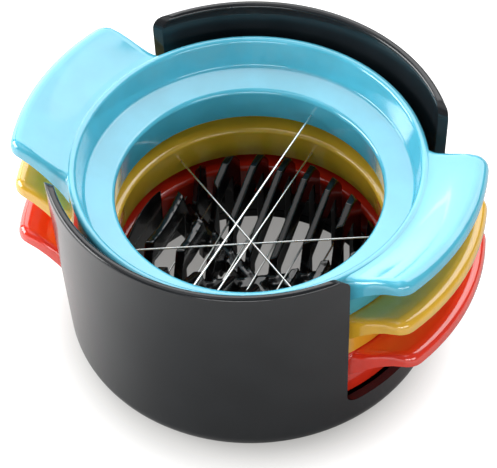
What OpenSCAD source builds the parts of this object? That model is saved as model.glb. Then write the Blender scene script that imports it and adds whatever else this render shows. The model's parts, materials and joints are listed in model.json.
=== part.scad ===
// Three-way egg slicer: a notched cup, a finned egg bed and a stack of three wire cutting rings.
// Millimetres. The origin is the centre of the foot, +Z is up and +X runs along the ring handles.

/* [Cutting rings] */
// Radius of the opening that the egg passes through
opening_r = 34; // [32:0.5:36]
// Width of the ledge from the lip to the rim wall
ledge_w = 7.8; // [7:0.2:10]
// Height of a ring from its bottom edge to its rim
ring_h = 19.7; // [18:0.1:22]
// Height of the lip above the bottom edge of its ring
lip_h = 10.3; // [9.4:0.1:11]
// Depth by which one ring nests in the rim of the next
nest = 5.2; // [4:0.1:5.6]
// Thickness of the ring walls
ring_wall = 1.8; // [1.4:0.1:2]
// Thickness of the rim
rim_w = 2.3; // [2.2:0.1:2.8]
// Outward lean of the rim wall
rim_draft = 1.3; // [0.8:0.1:1.8]
// Rise of the ledge from the lip to the rim wall
ledge_rise = 1.4; // [0.6:0.1:1.8]

/* [Handles] */
// Distance from the ring axis to the outer edge of a handle
handle_reach = 60; // [57:0.5:64]
// Width of a handle
handle_w = 48.6; // [42:0.2:50]
// Corner radius of a handle, seen from above
handle_corner = 4.2; // [3.2:0.2:8]
// Radius of the fillet between a handle and its ring, seen from above
handle_fillet = 8; // [4:0.5:10]
// Height of the handle crest above the rim
handle_rise = 4.6; // [2:0.1:5]
// Thickness of the handle plate
handle_t = 1.8; // [1.4:0.1:2.2]
// Radius of the rolled edge that runs round a handle
handle_roll = 2.4; // [2.2:0.1:3]
// Depth of the side flange where it leaves the ring
flange_root = 9.5; // [7:0.5:10]
// Depth of the side flange below the crest at the outer edge
flange_tip = 3.4; // [3.2:0.1:4.5]

/* [Turn on the seat] */
// Turn of the slicing ring
slicing_turn = 0.8; // [-3:0.1:3]
// Turn of the wedge ring
wedge_turn = -2; // [-3:0.1:3]
// Turn of the halving ring
halving_turn = -2; // [-3:0.1:3]

/* [Wires] */
// Diameter of the cutting wires
wire_d = 0.5; // [0.4:0.05:0.6]
// Height of the wires above the bottom edge of their ring
wire_h = 4.1; // [3.8:0.1:4.4]
// Diameter of the crimped ferrules
ferrule_d = 1.6; // [1.4:0.1:1.8]
// Length of the crimped ferrules
ferrule_len = 2.2; // [1.8:0.1:2.4]

/* [Cup] */
// Wall thickness of the cup
cup_wall = 2.2; // [1.8:0.1:2.6]
// Outward flare of the wall from the foot to the rim
cup_flare = 3.2; // [2:0.1:5]
// Height of the cup rim above the rim of the top ring
cup_over = 6.9; // [5:0.1:10]
// Radius of the rounded foot edge
foot_round = 8.5; // [7:0.1:9]
// Thickness of the cup floor
cup_floor = 2.6; // [2.6:0.1:3]
// Width of the two handle notches at the rim
notch_w = 60; // [59:0.5:64]
// Width of the notches at the sill
sill_w = 56.5; // [56:0.5:59]
// Height of the notch sill above the table
sill_h = 13.5; // [12:0.1:16]
// Radius of the inner corners at the sill
sill_round = 3; // [2:0.5:5]
// Radius of the outer corners at the rim
horn_round = 3.8; // [2:0.2:6]

/* [Egg bed] */
// Spacing of the fins, and of the slicing wires between them
fin_pitch = 7.15; // [6.8:0.05:7.2]
// Thickness of a fin
fin_t = 2; // [1.6:0.1:2.4]
// Height of the fin tips above the table
fin_top = 28.8; // [27:0.2:30]
// Height of the lowest point of the egg cradle above the table
cradle_low = 16; // [15:0.5:17]
// Slope of the cradle across the handle axis
cradle_slope_y = 0.58; // [0.5:0.01:0.65]
// Slope of the cradle along the handle axis
cradle_slope_x = 0.4; // [0.3:0.01:0.5]
// Depth of the arched part of a fin
fin_depth = 7.6; // [6:0.1:9]
// Top width of the wedge grooves
groove_w = 8.8; // [7:0.1:9.5]
// Height of the groove bottoms above the table
groove_low = 12.4; // [12:0.1:12.6]
// Width of the spokes under the wedge grooves
spoke_w = 4; // [3:0.1:5]
// Depth of the spokes
spoke_depth = 4.4; // [3.5:0.1:5]
// Height of the collar that carries the fins and the rings
collar_h = 6.3; // [6:0.1:7]

/* [Clearances] */
// Gap between the ring wall and the cup just above the rounded foot
ring_gap = 0.5; // [0.3:0.05:1]
// Gap between a nested skirt and the rim around it
nest_gap = 0.4; // [0.3:0.05:0.8]
// Gap around a cover ring in its frame
cover_gap = 0.12; // [0.08:0.02:0.2]
// Gap between the fins and the ring opening
bed_gap = 1.1; // [0.8:0.1:2]
// Gap between stacked parts where they rest on each other
seat_gap = 0.1; // [0.05:0.05:0.2]
// Gap between a wire and its hole or ferrule
wire_gap = 0.05; // [0.03:0.01:0.08]

/* [Hidden] */
$fn = 128;
inf = 200;

// Ring radii, from the opening outwards.
wall_lean = 0.9;                             // the inner wall leans outwards towards its bottom edge
edge_t = 1.2;                                // thickness of that bottom edge
lip_round = 1.3;
cove = 1;                                    // radius between the ledge and the rim wall
foot_r = opening_r + wall_lean;
channel_in_r = foot_r + edge_t;
ledge_r = opening_r + ledge_w;
ledge_h = lip_h + ledge_rise;
rim_in_r = ledge_r + rim_draft;
rim_out_r = rim_in_r + rim_w;
channel_out_r = rim_out_r - ring_wall;
skirt_r = ledge_r - nest_gap;
skirt_chamfer = 0.6;

// Handles.
crest_r = handle_reach - handle_roll;
crest_h = ring_h + handle_rise;
rim_mid_r = rim_in_r + rim_w / 2;
start_r = rim_out_r - ring_wall / 2;         // a handle starts inside the wall, a little below its top
root_drop = 0.3;
fillet_y = handle_w / 2 + handle_fillet;
fillet_x = sqrt(pow(start_r + handle_fillet, 2) - pow(fillet_y, 2));
fillet_reach = norm([fillet_x, fillet_y]);
corner_y = handle_w / 2 - handle_corner;
corner_x = sqrt(pow(handle_reach - handle_corner, 2) - pow(corner_y, 2));
corner_a = atan2(corner_y, corner_x);
fillet_steps = 4;                            // facets round a fillet, along a side, round a corner,
side_steps = 4;
corner_steps = 4;
width_steps = 14;                            // across the handle
roll_steps = 4;                              // and round the rolled edge
roll_levels = roll_steps + 1;
hollow_steps = 7;
hollow_r = rim_out_r - ring_wall / 3;

// Heights above the table, from the collar upwards. Rings rest shoulder on rim.
ring_pitch = ring_h - nest + seat_gap;
collar_top = cup_floor + collar_h;
slicing_z = collar_top + seat_gap;
wedge_z = slicing_z + ring_pitch;
halving_z = wedge_z + ring_pitch;
cup_h = halving_z + ring_h + cup_over;

// Cup radii. The wall clears the rings by ring_gap just above the rounded foot.
cup_foot_r = rim_out_r + ring_gap + cup_wall;
cup_rim_r = cup_foot_r + cup_flare;
foot_axis_r = cup_foot_r - foot_round;
foot_inner_round = foot_round - cup_wall;
foot_inner_angle = asin((foot_round - cup_floor) / foot_inner_round);

// Egg bed.
bed_r = opening_r - bed_gap;
cradle_soft = 1.5;                           // roundness of the bottom of the cradle
post_w = 4.1;                                // radial width of the fins' outer posts
tip_lean = 2.7;                              // how far the tips of the fins lean in
tip_h = 5;                                   // height over which they lean in
foot_reach = 2;                              // how far the feet of the fins run into the collar
foot_drop = 1;                               // how far the feet stay below the top of the collar
leg_w = 3.4;                                 // width of a fin's leg beside a groove
groove_half_low = 1;                         // half width of a groove at its bottom
groove_h = 13.6;                             // height over which a groove widens
collar_gap = 0.15;
fin_steps = 10;
foot_out_r = opening_r + foot_reach;
spoke_low = groove_low - spoke_depth;
collar_out_r = foot_axis_r + foot_inner_round * cos(foot_inner_angle) - collar_gap;

// Wires. Each offset is measured from the ring axis, and each angle from +X.
fin_count = 10;
fin_x = [for (i = [0 : fin_count - 1]) (i - (fin_count - 1) / 2) * fin_pitch];
slice_x = [for (i = [1 : fin_count - 1]) (i - fin_count / 2) * fin_pitch];
groove_angles = [30, 150];
wedge_angles = concat(groove_angles, [90]);
wedge_lift = wire_d + wire_gap;              // wedge wires cross one above the other

// Points of an arc about [x, y] from angle a0 to a1, in n steps.
function arc(x, y, r, a0, a1, n = 8) =
    [for (i = [0 : n]) let (a = a0 + (a1 - a0) * i / n) [x + r * cos(a), y + r * sin(a)]];

// Smooth step from 0 to 1.
function ease(t) = t * t * (3 - 2 * t);

// ---- Ring frame ----

// Lip, ledge, rim and outer wall, with the channel for the wire ends open at the bottom.
function frame_section() = concat(
    [[foot_r, 0]],
    arc(opening_r + lip_round, lip_h - lip_round, lip_round, 180, 96),
    arc(ledge_r - cove, ledge_h + cove, cove, -84, -8),
    arc(rim_mid_r, ring_h - rim_w / 2, rim_w / 2, 180, 0, 12),
    [[rim_out_r, nest],
     [channel_out_r, nest],
     [channel_out_r, ledge_h - ring_wall],
     [opening_r + ring_wall, lip_h - ring_wall],
     [channel_in_r, 0]]);

function reversed(points) = [for (i = [len(points) - 1 : -1 : 0]) points[i]];

function clamped(t) = max(0, min(1, t));

// Height of the top of a handle at distance r from the ring axis.
function handle_top(r) =
    let (low = ring_h - root_drop)
    low + (crest_h - low) * ease(clamped((r - start_r) / (crest_r - start_r)));

// Height of the lower edge of its flanges, which curve down into the ring wall.
function flange_low(r) =
    let (low = ring_h - flange_root, high = crest_h - flange_tip)
    low + (high - low) * sin(90 * clamped((r - start_r) / (handle_reach - start_r)));

// Points along one side of a handle, from inside the ring wall round the fillet, along the side
// and round the corner, set in by inset.
function side_outline(inset) =
    let (y = handle_w / 2 - inset,
         r = handle_fillet + inset,
         turn = acos(min(1, (pow(fillet_reach, 2) + pow(r, 2) - pow(start_r, 2)) / (2 * fillet_reach * r))))
    concat(arc(fillet_x, fillet_y, r, 180 + atan2(fillet_y, fillet_x) + turn, 270, fillet_steps),
           [for (i = [1 : side_steps - 1]) [fillet_x + (corner_x - fillet_x) * i / side_steps, y]],
           arc(corner_x, corner_y, handle_corner - inset, 90, corner_a, corner_steps));

// Point i of the row that crosses a handle at station j of its sides. Level 0 is the lower edge
// of the flanges, and levels 1 and up climb the rolled edge to the top.
function handle_point(j, level, i) =
    let (turn = 90 * max(0, level - 1) / roll_steps,
         p = side_outline(handle_roll * (1 - cos(turn)))[j],
         r = norm(p),
         a = atan2(p[1], p[0]) * (1 - 2 * i / width_steps))
    [r * cos(a), r * sin(a), level == 0 ? flange_low(r) : handle_top(r) - handle_roll * (1 - sin(turn))];

// Loop of points round the handle at station j: over the top, down one side, back underneath
// and up the other side. loop_index gives a point's place in it.
function handle_loop(j) = concat(
    [for (i = [0 : width_steps]) handle_point(j, roll_levels, i)],
    [for (level = [roll_levels - 1 : -1 : 1]) handle_point(j, level, width_steps)],
    [for (i = [width_steps : -1 : 0]) handle_point(j, 0, i)],
    [for (level = [1 : roll_levels - 1]) handle_point(j, level, 0)]);

function loop_index(level, i) =
    level == roll_levels ? i
    : i == width_steps ? width_steps + roll_levels - level
    : level == 0 ? 2 * width_steps + roll_levels - i
    : 2 * width_steps + roll_levels + level;

// Points inside an end of the handle, and the place of any point of that end.
function end_points(j) =
    [for (level = [1 : roll_levels - 1], i = [1 : width_steps - 1]) handle_point(j, level, i)];

function end_index(level, i, first, inner) =
    level == 0 || level == roll_levels || i == 0 || i == width_steps
    ? first + loop_index(level, i)
    : inner + (level - 1) * (width_steps - 1) + i - 1;

function end_faces(first, inner, out) =
    [for (level = [0 : roll_levels - 1], i = [0 : width_steps - 1])
        let (a = end_index(level, i, first, inner), b = end_index(level, i + 1, first, inner),
             c = end_index(level + 1, i + 1, first, inner), d = end_index(level + 1, i, first, inner))
        each out ? [[a, b, c], [a, c, d]] : [[a, c, b], [a, d, c]]];

// Handle as if it were solid down to the lower edge of its flanges.
module handle_form() {
    stations = fillet_steps + side_steps + corner_steps;
    loops = [for (j = [0 : stations]) handle_loop(j)];
    n = len(loops[0]);
    skin = [for (loop = loops) each loop];
    inner = len(skin);
    root_points = end_points(0);
    polyhedron(
        concat(skin, root_points, end_points(stations)),
        concat(
            [for (j = [0 : stations - 1], k = [0 : n - 1])
                let (a = j * n + k, b = j * n + (k + 1) % n)
                each [[a, b + n, b], [a, a + n, b + n]]],
            end_faces(0, inner, false),
            end_faces(stations * n, inner + len(root_points), true)));
}

// Hollow under the handle plate.
function hollow_section() = concat(
    [[hollow_r, -1]],
    [for (i = [0 : hollow_steps])
        let (r = hollow_r + (crest_r - hollow_r) * i / hollow_steps) [r, handle_top(r) - handle_t]],
    arc(crest_r, crest_h - handle_roll, handle_roll - handle_t, 60, 0, 2),
    [[handle_reach - handle_t, -1]]);

// Outline of the hollow seen from above.
module hollow_outline() {
    upper = concat(reversed(side_outline(handle_t)), [[rim_in_r / 2, handle_w / 2]]);
    far = handle_reach / cos(corner_a);
    polygon(concat([[far * cos(corner_a), -far * sin(corner_a)], [far * cos(corner_a), far * sin(corner_a)]],
                   upper, reversed([for (p = upper) [p[0], -p[1]]])));
}

module handles() {
    for (side = [0, 180])
        rotate(side)
            difference() {
                handle_form();
                intersection() {
                    rotate_extrude() polygon(hollow_section());
                    translate([0, 0, -1]) linear_extrude(2 * ring_h) hollow_outline();
                }
            }
}

// Ring frame with a hole in its inner wall for both ends of each wire.
module ring_frame(angles, offsets, lifts) {
    difference() {
        union() {
            rotate_extrude() polygon(frame_section());
            handles();
        }
        for (i = [0 : len(angles) - 1])
            along(angles[i], offsets[i], lifts[i])
                cylinder(d = wire_d + 2 * wire_gap, h = 2 * ferrule_seat(offsets[i]) + 1, center = true);
    }
}

// Floor of the channel, nesting skirt and the flange that fits inside the frame.
module cover_ring() {
    in_r = channel_in_r + cover_gap;
    out_r = channel_out_r - cover_gap;
    step_r = skirt_r - ring_wall;
    rotate_extrude()
        polygon([[in_r, 0], [skirt_r - skirt_chamfer, 0], [skirt_r, skirt_chamfer], [skirt_r, nest],
                 [out_r, nest], [out_r, nest + ring_wall], [step_r, nest + ring_wall],
                 [step_r, ring_wall], [in_r, ring_wall]]);
}

// ---- Wires ----

// Places children, drawn along Z, along a wire's line: direction a, offset to its side, lift above wire_h.
module along(a, offset, lift) {
    rotate([0, 0, a]) translate([0, -offset, wire_h + lift]) rotate([0, 90, 0]) children();
}

// Distance from the middle of a wire to the inner end of its ferrules, which bear on the inner wall.
function ferrule_seat(offset) =
    sqrt(pow(channel_in_r + wire_gap, 2) - pow(max(0, abs(offset) - ferrule_d / 2), 2));

module wire(a, offset = 0, lift = 0) {
    along(a, offset, lift)
        cylinder(d = wire_d, h = 2 * (ferrule_seat(offset) + ferrule_len), center = true);
}

// The two ferrules of one wire.
module ferrule_pair(a, offset = 0, lift = 0) {
    along(a, offset, lift)
        for (side = [0, 180])
            rotate([side, 0, 0])
                translate([0, 0, ferrule_seat(offset)])
                    difference() {
                        cylinder(d = ferrule_d, h = ferrule_len);
                        translate([0, 0, -1]) cylinder(d = wire_d + wire_gap, h = ferrule_len + 2);
                    }
}

// ---- Cup ----

function cup_section() = concat(
    [[opening_r, 0]],
    arc(foot_axis_r, foot_round, foot_round, -90, 0, 12),
    arc(cup_rim_r - cup_wall / 2, cup_h - cup_wall / 2, cup_wall / 2, 0, 180, 12),
    arc(foot_axis_r, foot_round, foot_inner_round, 0, -foot_inner_angle),
    [[opening_r, cup_floor]]);

// Notch seen along the handle axis: round inner corners at the sill, wider and flared at the rim.
function notch_side() = concat(
    arc(sill_w / 2 - sill_round, sill_h + sill_round, sill_round, -90, 0),
    arc(notch_w / 2 + horn_round, cup_h - horn_round, horn_round, 180, 90),
    [[notch_w / 2 + horn_round, cup_h + 1]]);

module cup() {
    difference() {
        rotate_extrude() polygon(cup_section());
        rotate([90, 0, 90])
            linear_extrude(2 * inf, center = true)
                polygon(concat(notch_side(), reversed([for (p = notch_side()) [-p[0], p[1]]])));
    }
}

// ---- Egg bed ----

// Height of the cradle surface above the table.
function cradle(x, y) =
    cradle_low - cradle_soft
    + sqrt(pow(cradle_soft, 2) + pow(cradle_slope_x * x, 2) + pow(cradle_slope_y * y, 2));

// Stations along half a fin, closer together near the middle.
fin_y = [for (i = [0 : fin_steps]) foot_out_r * pow(i / fin_steps, 1.3)];
function both_ways(list) = concat([for (i = [len(list) - 1 : -1 : 1]) -list[i]], list);

// Region of the YZ plane below the cradle, lowered by drop, for the fin at x.
module below_cradle(x, drop, low) {
    stations = both_ways(fin_y);
    polygon(concat([for (y = stations) [y, cradle(x, y) - drop]],
                   [[foot_out_r, low], [-foot_out_r, low]]));
}

module fin_plates(drop, low, t) {
    for (x = fin_x)
        translate([x, 0, 0]) rotate([90, 0, 90])
            linear_extrude(t, center = true) below_cradle(x, drop, low);
}

// Outer shape of the bed: feet in the collar, straight posts, tips leaning in.
module bed_envelope() {
    foot_top = collar_top - foot_drop;
    rotate_extrude()
        polygon([[0, cup_floor], [foot_out_r, cup_floor], [foot_out_r, foot_top], [bed_r, foot_top],
                 [bed_r, fin_top - tip_h], [bed_r - tip_lean, fin_top], [0, fin_top]]);
}

// Space under the arches of the fins, inside their posts and between their legs.
module arches() {
    difference() {
        intersection() {
            fin_plates(fin_depth, cup_floor - 1, fin_t + 1);
            cylinder(r = bed_r - post_w, h = fin_top);
        }
        for (a = groove_angles)
            rotate([0, 0, a])
                translate([-inf / 2, -groove_half_low - leg_w, spoke_low])
                    cube([inf, 2 * (groove_half_low + leg_w), fin_top]);
    }
}

// Grooves that let the wedge wires down between the fins.
module grooves() {
    top = groove_low + groove_h;
    for (a = groove_angles)
        rotate([0, 0, a]) rotate([90, 0, 90])
            linear_extrude(inf, center = true)
                polygon([[-groove_half_low, groove_low], [groove_half_low, groove_low],
                         [groove_w / 2, top], [groove_w / 2, inf],
                         [-groove_w / 2, inf], [-groove_w / 2, top]]);
}

// Spokes under the grooves, with a post at each end.
module spokes() {
    for (a = groove_angles)
        rotate([0, 0, a]) {
            translate([-bed_r, -spoke_w / 2, spoke_low]) cube([2 * bed_r, spoke_w, spoke_depth]);
            for (side = [0, 180])
                rotate([0, 0, side])
                    translate([bed_r - post_w, -spoke_w / 2, cup_floor])
                        cube([post_w + foot_reach + bed_gap, spoke_w, groove_low - cup_floor]);
        }
}

module bed() {
    intersection() {
        union() {
            difference() {
                fin_plates(0, cup_floor, fin_t);
                arches();
                grooves();
            }
            spokes();
        }
        bed_envelope();
    }
    translate([0, 0, cup_floor])
        difference() {
            cylinder(r = collar_out_r, h = collar_h);
            translate([0, 0, -1]) cylinder(r = opening_r, h = collar_h + 2);
        }
}

// ---- Parts ----

module base_cup() { color("#2b2a2c") cup(); }

module egg_bed() { color("#17181a") bed(); }

function repeated(value, list) = [for (i = list) value];

module placed(z, turn) { translate([0, 0, z]) rotate([0, 0, turn]) children(); }

module slicing_ring() {
    color("#e8341c") placed(slicing_z, slicing_turn)
        ring_frame(repeated(90, slice_x), slice_x, repeated(0, slice_x));
}

module slicing_cover_ring() { color("#d62f1a") placed(slicing_z, slicing_turn) cover_ring(); }

module slicing_wire(i) { color("#c9ccd0") placed(slicing_z, slicing_turn) wire(90, slice_x[i - 1]); }

module slicing_ferrules() {
    color("#b5b8bc") placed(slicing_z, slicing_turn)
        for (x = slice_x) ferrule_pair(90, x);
}

function wedge_lifts() = [for (i = [0 : 2]) (i - 1) * wedge_lift];

module wedge_ring() {
    color("#efc43f") placed(wedge_z, wedge_turn)
        ring_frame(wedge_angles, repeated(0, wedge_angles), wedge_lifts());
}

module wedge_cover_ring() { color("#dfb437") placed(wedge_z, wedge_turn) cover_ring(); }

module wedge_wire(i) {
    color("#c9ccd0") placed(wedge_z, wedge_turn) wire(wedge_angles[i - 1], 0, wedge_lifts()[i - 1]);
}

module wedge_ferrules() {
    color("#b5b8bc") placed(wedge_z, wedge_turn)
        for (i = [0 : 2]) ferrule_pair(wedge_angles[i], 0, wedge_lifts()[i]);
}

module halving_ring() { color("#7fe0f0") placed(halving_z, halving_turn) ring_frame([90], [0], [0]); }

module halving_cover_ring() { color("#62cfe2") placed(halving_z, halving_turn) cover_ring(); }

module halving_wire() { color("#c9ccd0") placed(halving_z, halving_turn) wire(90); }

module halving_ferrules() { color("#b5b8bc") placed(halving_z, halving_turn) ferrule_pair(90); }

base_cup();
egg_bed();
slicing_ring();
slicing_cover_ring();
slicing_ferrules();
for (i = [1 : len(slice_x)])
    slicing_wire(i);
wedge_ring();
wedge_cover_ring();
wedge_ferrules();
for (i = [1 : len(wedge_angles)])
    wedge_wire(i);
halving_ring();
halving_cover_ring();
halving_ferrules();
halving_wire();
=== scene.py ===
"""Egg slicer: the looks of a black cup with a finned egg bed and three coloured wire rings."""

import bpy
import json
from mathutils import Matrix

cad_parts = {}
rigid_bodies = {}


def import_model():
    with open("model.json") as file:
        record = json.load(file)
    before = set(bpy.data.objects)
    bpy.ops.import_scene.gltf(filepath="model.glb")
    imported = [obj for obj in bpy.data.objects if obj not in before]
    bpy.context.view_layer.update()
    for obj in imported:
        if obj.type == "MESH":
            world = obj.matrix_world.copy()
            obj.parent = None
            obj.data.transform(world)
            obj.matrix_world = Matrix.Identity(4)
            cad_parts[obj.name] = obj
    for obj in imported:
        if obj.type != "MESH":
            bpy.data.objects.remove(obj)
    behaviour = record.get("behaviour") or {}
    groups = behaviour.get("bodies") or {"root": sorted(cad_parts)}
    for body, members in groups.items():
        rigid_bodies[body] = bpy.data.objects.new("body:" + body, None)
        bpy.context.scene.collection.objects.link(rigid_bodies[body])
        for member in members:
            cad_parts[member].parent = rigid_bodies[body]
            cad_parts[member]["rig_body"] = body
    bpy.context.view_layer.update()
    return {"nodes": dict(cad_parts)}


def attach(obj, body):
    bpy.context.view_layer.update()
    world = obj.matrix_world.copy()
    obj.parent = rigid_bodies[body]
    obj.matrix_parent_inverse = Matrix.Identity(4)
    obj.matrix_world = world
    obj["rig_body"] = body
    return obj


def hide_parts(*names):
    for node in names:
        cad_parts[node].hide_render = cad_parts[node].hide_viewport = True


bl_info = {
    "name": "Egg Slicer",
    "version": (1, 0, 0),
    "blender": (4, 5, 0),
    "location": "View3D > Sidebar > Egg Slicer",
    "description": "Finishes a three-way egg slicer: cup, egg bed, cutting rings, wires and stage",
    "category": "Object",
}

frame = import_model()

import json
import math

import bpy
from mathutils import Quaternion, Vector

# The material slot of each ring, lowest ring first
RING_SLOTS = {"slicing": "red_plastic", "wedge": "yellow_plastic", "halving": "blue_plastic"}

SHARP = math.radians(32)    # an edge that turns by more than this is softened, or shaded sharp
FLAT = math.radians(0.4)    # faces that turn by less than this become one face
SAME_POINT = 1e-6           # corners nearer than this many metres become one corner
SIDEWAYS = 0.15             # sine of the most that the normal of a turned wall leans to one side
BED_PASSES = 2              # rounds of smoothing over the edges of the egg bed
BED_FACES = 0.42            # share of the egg bed's faces that is kept after smoothing

CUP_IOR, BED_IOR = 1.42, 1.6
PLASTIC_IOR = 1.52
COAT_IOR = 1.6              # clear gloss over the coloured rings
ALONG_WIRE = (1, 0.05, 1)   # draws a pattern out to lines along Y

WORLD_LIGHT = 0.12          # strength of the world for all but the camera, which sees white
NEAR, FAR = 0.01, 20        # distances in metres between which the camera sees
FLOOR_SIZE = 6              # metres along a side
FLOOR_HEIGHT = -0.0001      # just under the foot of the cup

# Distances in metres from the middle of the cup over which the glow of the floor comes up, which
# paints shade under and near the cup
# painted shadow under the cup, which the camera sees
PAINTED_SHADOW_FADE = (0.036, 0.066)
# painted shade near the cup in what glossy walls mirror
REFLECTED_SHADE_FADE = (0.07, 0.13)
# painted light on the left of the cup in what glossy walls mirror
REFLECTED_LIGHT_FADE = (0.0, 0.11)

# Glow of the floor, where 1 is white: where it is low it is painted shade, and what glossy walls
# mirror of it is painted light
SEEN_IN_PAINTED_SHADOW = 0.26           # what the camera sees under the cup, a painted shadow
SEEN_OUTSIDE = 0.80         # what is added to that outside the cup
PAINTED_REFLECTION_LEFT = 0.8         # what glossy walls mirror on the left of the cup, a painted reflection of light
PAINTED_REFLECTION_AROUND = 0.3       # what is added to that all round the cup, away from it, so that painted shade stays near the cup in reflections

RINGS_MIDDLE = (0, 0, 0.05)
CUP_MIDDLE = (0, 0, 0.04)

# Each lamp: its place, the point it faces, its width and height in metres, and its watts
LAMPS = {
    "window": ((-0.10, 0.80, 0.98), RINGS_MIDDLE, (2.9, 1.2), 27.5),
    "shelf": ((-0.88, 0.66, 0.24), RINGS_MIDDLE, (0.9, 0.36), 2.6),
    "sky": ((0.42, 0.44, 0.82), RINGS_MIDDLE, (0.6, 0.6), 0.7),
    "right": ((0.80, -0.58, 0.36), RINGS_MIDDLE, (0.5, 0.3), 1.9),
    "ceiling": ((-0.30, -0.38, 1.10), RINGS_MIDDLE, (0.9, 0.7), 1.7),
    "left": ((-0.88, -0.34, 0.32), CUP_MIDDLE, (0.75, 0.45), 8.0),
    "front": ((0.30, -0.95, 0.30), CUP_MIDDLE, (0.6, 0.2), 2.4),
}


# ---- Colours, gloss, sizes and view ----

def colour(name, description, default):
    return bpy.props.FloatVectorProperty(
        name=name, description=description, subtype="COLOR", size=3, min=0, max=1,
        default=default)


def share(name, description, default):
    return bpy.props.FloatProperty(
        name=name, description=description, subtype="FACTOR", min=0, max=1, precision=3,
        default=default)


def length(name, description, default):
    return bpy.props.FloatProperty(
        name=name, description=description, unit="LENGTH", subtype="DISTANCE", min=0,
        precision=5, default=default)


class SlicerPaint(bpy.types.PropertyGroup):
    """Colours of the mouldings, the wires and the floor, as linear values."""

    cup: colour("Cup", "Outside and inside of the cup", (0.0135, 0.0155, 0.018))
    bed: colour("Egg bed", "Fins, spokes and collar of the egg bed", (0.004, 0.004, 0.005))
    slicing: colour("Slicing ring", "Red ring with the parallel wires", (0.95, 0.040, 0.014))
    wedge: colour("Wedge ring", "Yellow ring with the crossing wires", (0.96, 0.54, 0.040))
    halving: colour("Halving ring", "Pale blue ring with the single wire", (0.10, 0.565, 0.76))
    wire: colour("Wire", "Stainless steel cutting wires", (0.90, 0.90, 0.89))
    ferrule: colour("Ferrule", "Crimped ends of the wires", (0.55, 0.55, 0.56))
    floor: colour("Floor", "Table that the slicer stands on", (0.41, 0.41, 0.407))


class SlicerGloss(bpy.types.PropertyGroup):
    """Roughness of each finish, and how much clear gloss lies over the mouldings."""

    cup: share("Cup", "Roughness of the satin black cup", 0.24)
    bed: share("Egg bed", "Roughness of the black egg bed", 0.19)
    ring: share("Rings", "Roughness of the coloured rings", 0.16)
    wire: share("Wire", "Roughness of the cutting wires", 0.28)
    ferrule: share("Ferrule", "Roughness of the crimped ends", 0.30)
    cup_coat: share("Cup gloss", "Clear gloss over the cup", 0.4)
    bed_coat: share("Egg bed gloss", "Clear gloss over the egg bed", 0.3)
    ring_coat: share("Ring gloss", "Clear gloss over the rings", 1.0)


class SlicerSizes(bpy.types.PropertyGroup):
    """Sizes of the softened edges and of the moulded texture."""

    cup_edge: length("Cup edge", "Width of the softened edges of the cup", 0.0007)
    ring_edge: length("Ring edge", "Width of the softened edges of the rings", 0.00022)
    bed_grain: length("Egg bed grain", "Grid on which the egg bed's edges are rounded", 0.00036)
    ripple: length("Ripple", "Height of the slow waves in the mouldings", 0.00002)


class SlicerView(bpy.types.PropertyGroup):
    """Where the camera stands and what it looks at."""

    place: bpy.props.FloatVectorProperty(
        name="Place", description="Position of the camera", unit="LENGTH",
        subtype="TRANSLATION", default=(0.23463, -0.45458, 0.60519))
    target: bpy.props.FloatVectorProperty(
        name="Target", description="Point at the middle of the picture", unit="LENGTH",
        subtype="TRANSLATION", default=(-0.00102, 0.00040, 0.030))
    roll: bpy.props.FloatProperty(
        name="Roll", description="Turn of the camera about its line of sight",
        unit="ROTATION", subtype="ANGLE", default=math.radians(-2.675))
    lens: bpy.props.FloatProperty(
        name="Lens", description="Focal length in millimetres", min=10, default=217.3)


def paint():
    return bpy.context.scene.slicer_paint


def gloss():
    return bpy.context.scene.slicer_gloss


def sizes():
    return bpy.context.scene.slicer_sizes


# ---- Finishes ----

class Value:
    """A shader socket that is used in arithmetic, and a way to add any node to its tree."""

    def __init__(self, tree, socket):
        self.tree, self.socket = tree, socket

    def node(self, kind, inputs=None, output=0, **settings):
        """Adds a node with these settings, and values or links for its inputs."""
        made = self.tree.nodes.new(kind)
        for key, value in settings.items():
            setattr(made, key, value)
        for key, value in (inputs or {}).items():
            self.feed(made.inputs[key], value)
        return Value(self.tree, made.outputs[output])

    def feed(self, socket, value):
        """Links a Value to a socket, or sets a number, a vector or a colour on it."""
        if isinstance(value, Value):
            self.tree.links.new(value.socket, socket)
        elif isinstance(value, tuple) and len(value) < len(socket.default_value):
            socket.default_value = (*value, 1)
        else:
            socket.default_value = value

    def maths(self, operation, *values):
        """Adds a Math node over numbers or Values."""
        return self.node("ShaderNodeMath", dict(enumerate(values)), operation=operation)

    def __add__(self, other):
        return self.maths("ADD", self, other)

    def __radd__(self, other):
        return self.maths("ADD", other, self)

    def __sub__(self, other):
        return self.maths("SUBTRACT", self, other)

    def __rsub__(self, other):
        return self.maths("SUBTRACT", other, self)

    def __mul__(self, other):
        if isinstance(other, tuple):
            return self.node("ShaderNodeVectorMath", {0: self, 1: other}, operation="MULTIPLY")
        return self.maths("MULTIPLY", self, other)

    def __rmul__(self, other):
        return self.maths("MULTIPLY", other, self)

    def part(self, axis):
        """One coordinate of a vector."""
        return self.node("ShaderNodeSeparateXYZ", {0: self}, output=axis)

    def distance(self):
        """Length of a vector."""
        return self.node("ShaderNodeVectorMath", {0: self}, output="Value", operation="LENGTH")

    def band(self, low, high):
        """0 below low, 1 above high, and smooth between."""
        return self.node("ShaderNodeMapRange", {"Value": self, "From Min": low, "From Max": high},
                         interpolation_type="SMOOTHSTEP")

    def blend(self, first, second):
        """The colour first where this is 0, and second where it is 1."""
        return self.node("ShaderNodeMix", {0: self, 6: first, 7: second}, output=2,
                         data_type="RGBA")

    def noise(self, size, detail, roughness=0.5, stretch=None):
        """Noise at the place that this value gives, with features of about this size in metres."""
        place = self
        if stretch:
            place = self.node("ShaderNodeMapping", {"Vector": self, "Scale": stretch})
        return self.node("ShaderNodeTexNoise", {"Vector": place, "Scale": 1 / size,
                                                "Detail": detail, "Roughness": roughness})


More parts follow.
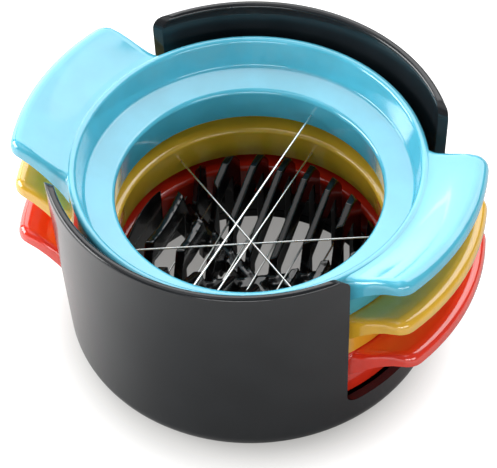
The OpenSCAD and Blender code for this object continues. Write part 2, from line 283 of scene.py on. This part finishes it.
class Finish:
    """A material with its Principled shader and the Object coordinates that its patterns read."""

    def __init__(self, name):
        self.material = bpy.data.materials.new(name)
        self.material.use_nodes = True
        tree = self.material.node_tree
        self.shader = tree.nodes["Principled BSDF"]
        self.place = Value(tree, None).node("ShaderNodeTexCoord", output="Object")

    def set(self, **inputs):
        """Sets or links the shader's sockets, with _ for each space in their names."""
        for key, value in inputs.items():
            self.place.feed(self.shader.inputs[key.replace("_", " ")], value)

    def bump(self, height, distance, strength=1.0):
        """Raises the surface by up to distance metres where height is 1."""
        self.set(Normal=self.place.node("ShaderNodeBump", {
            "Height": height, "Distance": distance, "Strength": strength}))


def shade(base, factor, lift=0.0):
    """A lighter or darker shade of a colour."""
    return tuple(min(1, c * factor + lift) for c in base)


def moulding(name, base, roughness, coat, ripple):
    """Glossy moulded plastic: clouds in the colour, smears in the gloss, and slow waves."""
    finish = Finish(name)
    place = finish.place
    cloud = place.noise(size=0.012, detail=3).band(0.35, 0.65)
    smear = place.noise(size=0.006, detail=4, roughness=0.6) - 0.5
    waves = place.noise(size=0.02, detail=1) + place.noise(size=0.003, detail=2) * 0.12
    smear_depth = roughness * 0.35
    finish.set(Base_Color=cloud.blend(shade(base, 0.94), shade(base, 1.04, lift=0.001)),
               Roughness=roughness + smear * smear_depth, IOR=PLASTIC_IOR,
               Coat_Weight=coat, Coat_Roughness=0.08, Coat_IOR=COAT_IOR)
    finish.bump(waves, ripple)
    return finish.material


def satin_black(name, base, roughness, ior, coat, ripple):
    """Satin moulded black: a slow change in colour and gloss over faint waves."""
    finish = Finish(name)
    place = finish.place
    cloud = place.noise(size=0.01, detail=3).band(0.3, 0.7)
    smear = place.noise(size=0.011, detail=3, roughness=0.6) - 0.5
    smear_depth = 0.08
    finish.set(Base_Color=cloud.blend(shade(base, 0.85), shade(base, 1.15)),
               Roughness=roughness + smear * smear_depth, IOR=ior,
               Coat_Weight=coat, Coat_Roughness=0.06)
    finish.bump(place.noise(size=0.02, detail=1), ripple)
    return finish.material


def drawn_steel(name, base, roughness, run=None):
    """Drawn steel: fine lines, longer along the run of the wire, and a slight change in gloss."""
    finish = Finish(name)
    lines = finish.place.noise(size=0.0012, detail=2, stretch=run)
    line_depth, line_gloss = 0.000005, 0.1
    finish.set(Base_Color=lines.band(0.3, 0.7).blend(shade(base, 0.88), tuple(base)),
               Metallic=1.0, Roughness=roughness + (lines - 0.5) * line_gloss)
    finish.bump(lines, line_depth, strength=0.4)
    return finish.material


def dress(piece, material):
    """Gives piece this material alone."""
    piece.data.materials.clear()
    piece.data.materials.append(material)


# ---- Pieces ----

def alone(piece):
    """Makes piece the one selected and active object."""
    bpy.ops.object.select_all(action="DESELECT")
    piece.select_set(True)
    bpy.context.view_layer.objects.active = piece


def apply(piece, name, kind, **settings):
    """Adds a modifier to the active piece and applies it."""
    modifier = piece.modifiers.new(name, kind)
    for key, value in settings.items():
        setattr(modifier, key, value)
    bpy.ops.object.modifier_apply(modifier=modifier.name)


def moulded_copy(node, name, material, edge=None):
    """Copies a solid, joins its triangles, softens its sharp edges and stands for it."""
    source = frame["nodes"][node]
    piece = bpy.data.objects.new(name, source.data.copy())
    bpy.context.scene.collection.objects.link(piece)
    alone(piece)
    bpy.ops.object.mode_set(mode="EDIT")
    bpy.ops.mesh.select_all(action="SELECT")
    bpy.ops.mesh.remove_doubles(threshold=SAME_POINT)
    bpy.ops.mesh.customdata_custom_splitnormals_clear()
    bpy.ops.mesh.dissolve_limited(angle_limit=FLAT)
    bpy.ops.object.mode_set(mode="OBJECT")
    if edge:
        apply(piece, "Moulded edge", "BEVEL", limit_method="ANGLE", angle_limit=SHARP,
              width=edge, segments=2, use_clamp_overlap=True, miter_outer="MITER_SHARP",
              harden_normals=True)
    bpy.ops.object.shade_smooth_by_angle(angle=SHARP)
    dress(piece, material)
    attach(piece, source["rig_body"])
    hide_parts(node)
    return piece


def turned(piece):
    """Shades flat walls flat, and gives walls turned about Z normals that point straight out."""
    alone(piece)
    apply(piece, "Even normals", "WEIGHTED_NORMAL", keep_sharp=True)
    mesh = piece.data
    normals = []
    for loop in mesh.loops:
        normal = Vector(mesh.corner_normals[loop.index].vector)
        x, y, z = mesh.vertices[loop.vertex_index].co
        out = Vector((x, y, 0)).normalized()
        if abs(normal.cross(out).z) < SIDEWAYS:
            normal = out * normal.dot(out) + Vector((0, 0, normal.z))
        normals.append(normal.normalized())
    mesh.normals_split_custom_set(normals)


def rounded(piece, grain, passes, keep):
    """Rebuilds a piece on a grid of grain metres, rounds its edges and keeps a share of faces."""
    alone(piece)
    apply(piece, "Even grid", "REMESH", mode="VOXEL", voxel_size=grain)
    apply(piece, "Rounded edges", "SMOOTH", factor=0.5, iterations=passes)
    apply(piece, "Fewer flat faces", "DECIMATE", ratio=keep)
    bpy.ops.object.shade_smooth()
    apply(piece, "Even normals", "WEIGHTED_NORMAL")


class SLICER_OT_cup(bpy.types.Operator):
    """Finish the black cup"""

    bl_idname = "slicer.cup"
    bl_label = "Cup"

    def execute(self, context):
        satin = satin_black("cup_black", paint().cup, gloss().cup, CUP_IOR, gloss().cup_coat,
                            sizes().ripple)
        turned(moulded_copy("base_cup", "cup", satin, sizes().cup_edge))
        return {"FINISHED"}


class SLICER_OT_egg_bed(bpy.types.Operator):
    """Finish the fins, spokes and collar of the egg bed"""

    bl_idname = "slicer.egg_bed"
    bl_label = "Egg bed"

    def execute(self, context):
        satin = satin_black("bed_black", paint().bed, gloss().bed, BED_IOR, gloss().bed_coat,
                            sizes().ripple)
        bed = moulded_copy("egg_bed", "bed", satin)
        rounded(bed, sizes().bed_grain, BED_PASSES, BED_FACES)
        dress(bed, satin)
        return {"FINISHED"}


class SLICER_OT_rings(bpy.types.Operator):
    """Finish the three ring frames and the cover rings under them"""

    bl_idname = "slicer.rings"
    bl_label = "Rings"

    def execute(self, context):
        for ring, slot in RING_SLOTS.items():
            plastic = moulding(slot, getattr(paint(), ring), gloss().ring, gloss().ring_coat,
                               sizes().ripple)
            for node in (f"{ring}_ring", f"{ring}_cover_ring"):
                turned(moulded_copy(node, f"{node}_moulded", plastic, sizes().ring_edge))
        return {"FINISHED"}


class SLICER_OT_wires(bpy.types.Operator):
    """Give the cutting wires and their ferrules a drawn steel finish"""

    bl_idname = "slicer.wires"
    bl_label = "Wires"

    def execute(self, context):
        wire = drawn_steel("wire_steel", paint().wire, gloss().wire, run=ALONG_WIRE)
        ferrule = drawn_steel("ferrule_steel", paint().ferrule, gloss().ferrule)
        for node, piece in frame["nodes"].items():
            if "_wire" in node:
                dress(piece, wire)
            elif "_ferrules" in node:
                dress(piece, ferrule)
        return {"FINISHED"}


# ---- Stage ----

def facing(place, target):
    """Turn of a lamp or camera that stands at place and faces target."""
    return (Vector(target) - Vector(place)).to_track_quat("-Z", "Y")


def place_on_stage(name, data, place, turn):
    """Adds a lamp or camera to the scene."""
    made = bpy.data.objects.new(name, data)
    bpy.context.scene.collection.objects.link(made)
    made.location = place
    made.rotation_mode = "QUATERNION"
    made.rotation_quaternion = turn
    return made


def softbox(name, place, target, size, power):
    """Hangs a flat lamp of this width and height in metres and this power in watts."""
    light = bpy.data.lights.new(name, "AREA")
    light.shape = "RECTANGLE"
    light.size, light.size_y = size
    light.energy = power
    place_on_stage(name, light, place, facing(place, target))


def floor_finish():
    """Pale table that shows white to the camera and keeps the shadow, with a painted shadow under
    the cup, and a painted reflection of light on the left and away from the cup that glossy walls
    mirror.
    """
    finish = Finish("table_white")
    place = finish.place
    camera_ray = place.node("ShaderNodeLightPath", output="Is Camera Ray")
    glossy_ray = place.node("ShaderNodeLightPath", output="Is Glossy Ray")
    radius = (place * (1, 1, 0)).distance()
    outside = radius.band(*PAINTED_SHADOW_FADE)
    around = radius.band(*REFLECTED_SHADE_FADE)
    left = (0 - place.part(0)).band(*REFLECTED_LIGHT_FADE)
    # painted shadow: the camera sees the floor dim under the cup
    seen_with_painted_shadow = SEEN_IN_PAINTED_SHADOW + SEEN_OUTSIDE * outside
    # painted reflection: glossy walls mirror light on the left of the cup and away from it, and
    # painted shade near it
    painted_reflection = PAINTED_REFLECTION_LEFT * left + PAINTED_REFLECTION_AROUND * around
    glow = camera_ray * seen_with_painted_shadow + glossy_ray * painted_reflection
    # warm painted shade colour under the cup
    painted_shade_tint = outside.blend((1.0, 0.98, 0.95), (1.0, 1.0, 1.0))
    finish.set(Base_Color=tuple(paint().floor), Roughness=0.7, Specular_IOR_Level=0.1,
               Emission_Color=glow.blend((0.0, 0.0, 0.0), painted_shade_tint), Emission_Strength=1.0)
    return finish.material


def studio_world():
    """World that shows white to the camera and lights the rest faintly."""
    world = bpy.data.worlds.new("studio")
    world.use_nodes = True
    background = world.node_tree.nodes["Background"]
    sky = Value(world.node_tree, None)
    camera_ray = sky.node("ShaderNodeLightPath", output="Is Camera Ray")
    sky.feed(background.inputs["Color"], (1.0, 1.0, 1.0))
    sky.feed(background.inputs["Strength"], WORLD_LIGHT + (1 - WORLD_LIGHT) * camera_ray)
    return world


class SLICER_OT_stage(bpy.types.Operator):
    """Set up the floor, the soft studio light and the camera"""

    bl_idname = "slicer.stage"
    bl_label = "Stage"

    def execute(self, context):
        scene = context.scene
        bpy.ops.object.select_all(action="DESELECT")
        bpy.ops.mesh.primitive_plane_add(size=FLOOR_SIZE, location=(0, 0, FLOOR_HEIGHT))
        floor = context.object
        floor.name = "floor"
        dress(floor, floor_finish())

        for name, lamp in LAMPS.items():
            softbox(name, *lamp)
        scene.world = studio_world()

        view = scene.slicer_view
        lens = bpy.data.cameras.new("camera")
        lens.lens = view.lens
        lens.clip_start, lens.clip_end = NEAR, FAR
        turn = facing(view.place, view.target) @ Quaternion((0, 0, 1), view.roll)
        scene.camera = place_on_stage("camera", lens, view.place, turn)
        scene.view_settings.view_transform = "Standard"
        return {"FINISHED"}


class SLICER_PT_panel(bpy.types.Panel):
    """Buttons, colours and sizes of the egg slicer"""

    bl_idname = "SLICER_PT_panel"
    bl_label = "Egg Slicer"
    bl_space_type = "VIEW_3D"
    bl_region_type = "UI"
    bl_category = "Egg Slicer"

    def draw(self, context):
        for operator in OPERATORS:
            self.layout.operator(operator.bl_idname)
        for group in GROUPS:
            owner = getattr(context.scene, group)
            for key in owner.__annotations__:
                self.layout.prop(owner, key)


GROUPS = {"slicer_paint": SlicerPaint, "slicer_gloss": SlicerGloss,
          "slicer_sizes": SlicerSizes, "slicer_view": SlicerView}
OPERATORS = (SLICER_OT_cup, SLICER_OT_egg_bed, SLICER_OT_rings, SLICER_OT_wires, SLICER_OT_stage)
CLASSES = (*GROUPS.values(), *OPERATORS, SLICER_PT_panel)


def register():
    for cls in CLASSES:
        bpy.utils.register_class(cls)
    for name, group in GROUPS.items():
        setattr(bpy.types.Scene, name, bpy.props.PointerProperty(type=group))


def unregister():
    for name in GROUPS:
        delattr(bpy.types.Scene, name)
    for cls in reversed(CLASSES):
        bpy.utils.unregister_class(cls)


def main():
    register()
    for operator in OPERATORS:
        group, name = operator.bl_idname.split(".")
        getattr(getattr(bpy.ops, group), name)()


if __name__ == "__main__":
    main()
